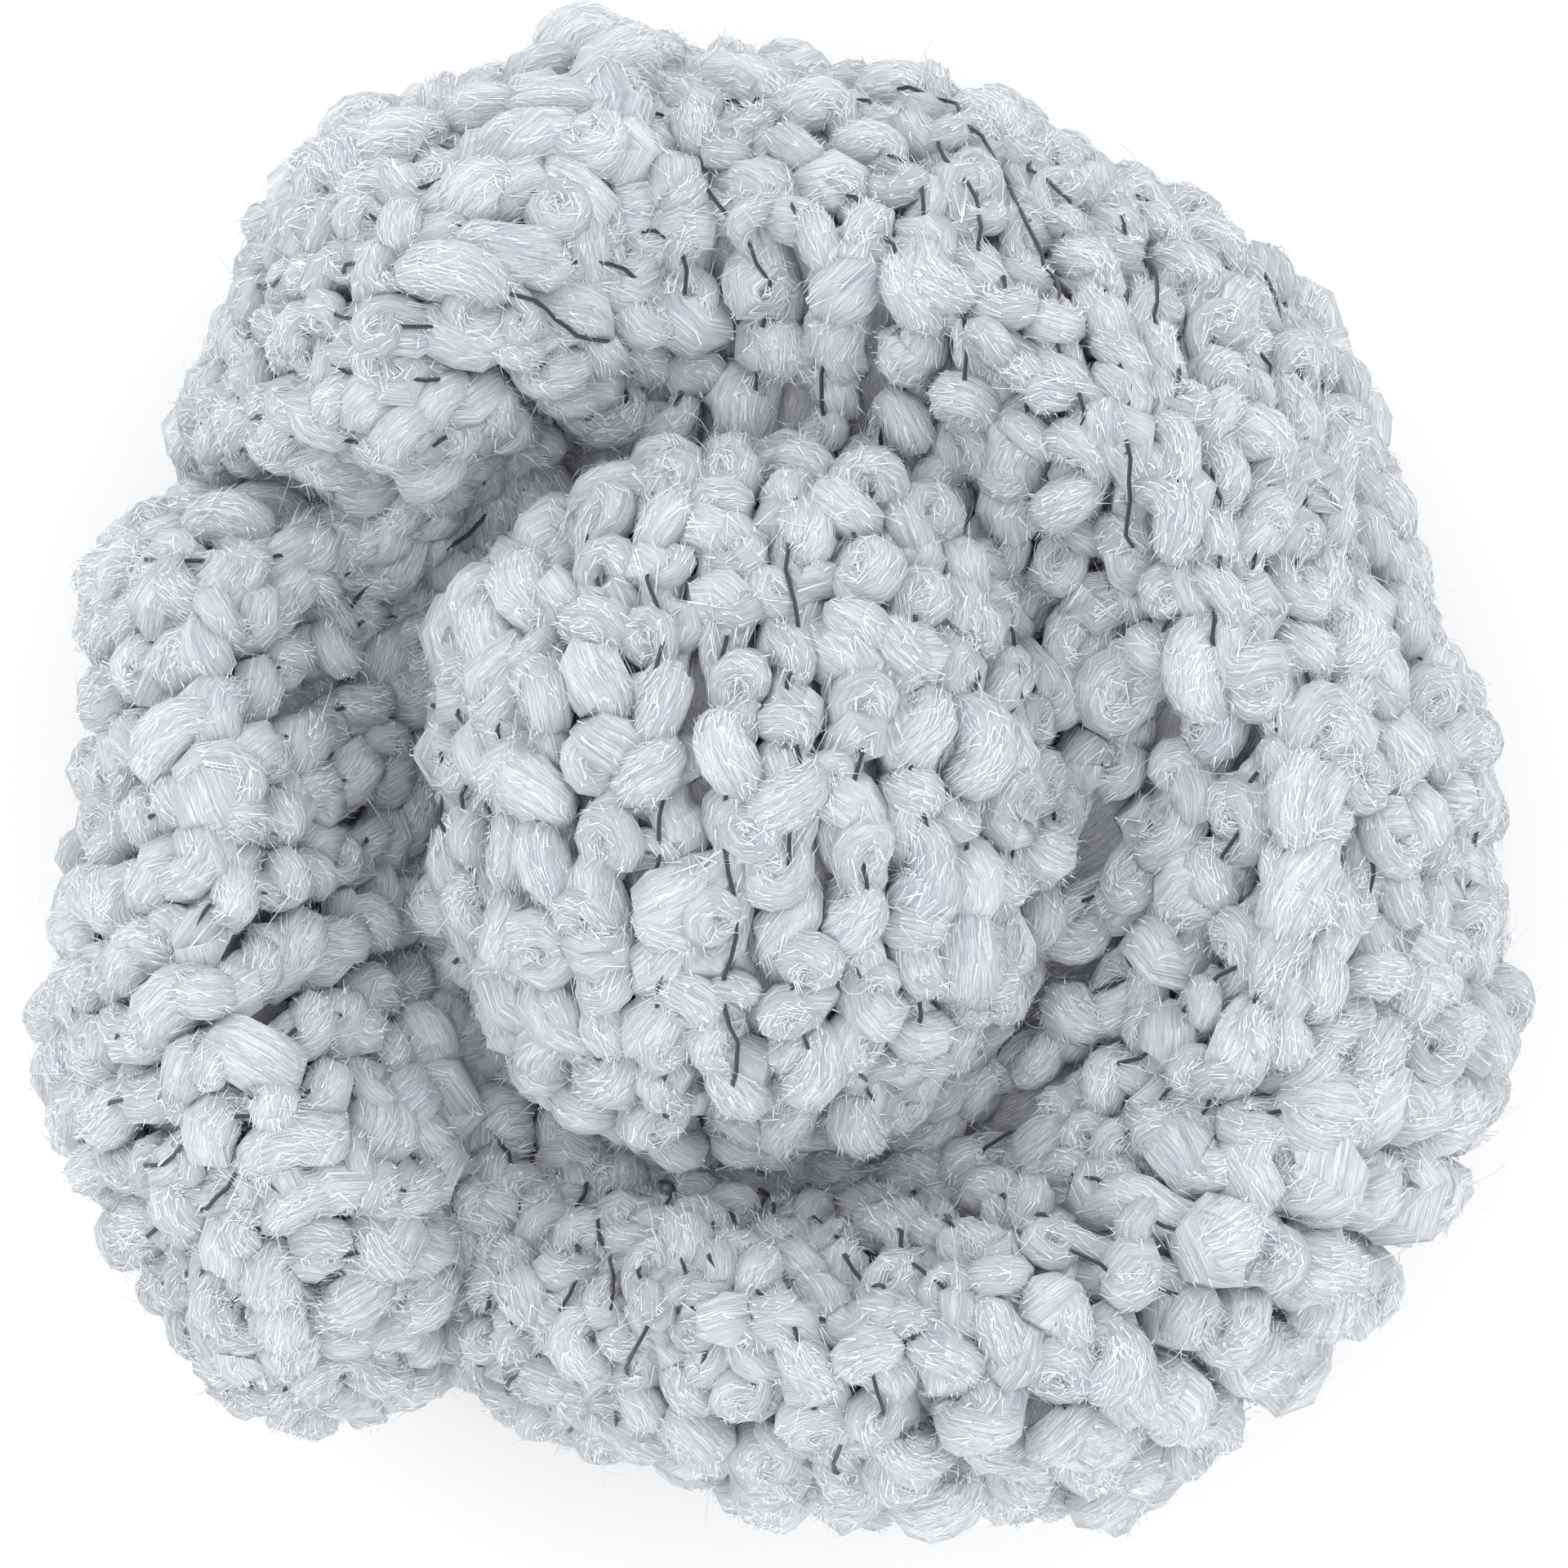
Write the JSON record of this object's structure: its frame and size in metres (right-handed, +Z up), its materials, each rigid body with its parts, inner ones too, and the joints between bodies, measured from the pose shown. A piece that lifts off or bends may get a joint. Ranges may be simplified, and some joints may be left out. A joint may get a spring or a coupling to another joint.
{
  "type": "boucle yarn ball",
  "caption": "Loosely wound ball of thick, pale grey boucle yarn: crossing rolls of turns round a raised middle mound, resting on a small flat spot.",
  "frame": {"origin": "on the flat spot the ball rests on, under its middle", "axes": "+Z up and towards the picture's viewer, +X to the picture's right, +Y to the picture's top"},
  "size_m": [0.1182, 0.1214, 0.1018],
  "materials": {
    "wool": "matt, hairy, pale cool grey"
  },
  "bodies": {
    "root": {"yarn_ball": "wool"}
  },
  "joints": []
}
